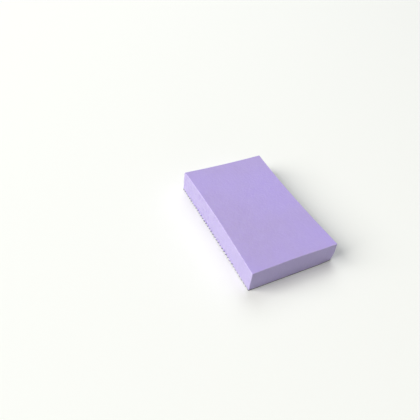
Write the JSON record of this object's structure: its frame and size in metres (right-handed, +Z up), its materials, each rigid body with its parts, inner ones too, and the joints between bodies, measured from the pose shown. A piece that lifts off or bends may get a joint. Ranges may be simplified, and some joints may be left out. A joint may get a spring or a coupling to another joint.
{
  "type": "thermal pad sheet",
  "caption": "Soft rectangular thermal gap pad: a thick lilac silicone gel slab on a thin gray carrier film, with a finely toothed foot along one long side.",
  "frame": {"origin": "middle of the pad's underside, on the surface that it lies on", "axes": "+X across the pad, from the toothed long side to the plain one; +Y along the pad; +Z up, out of the gel's bare top face"},
  "size_m": [0.04, 0.062, 0.01],
  "materials": {
    "lilac_gel": "matte",
    "gray_film": "matte"
  },
  "bodies": {
    "root": {"gel_pad": "lilac_gel", "carrier_film": "gray_film"}
  },
  "joints": []
}
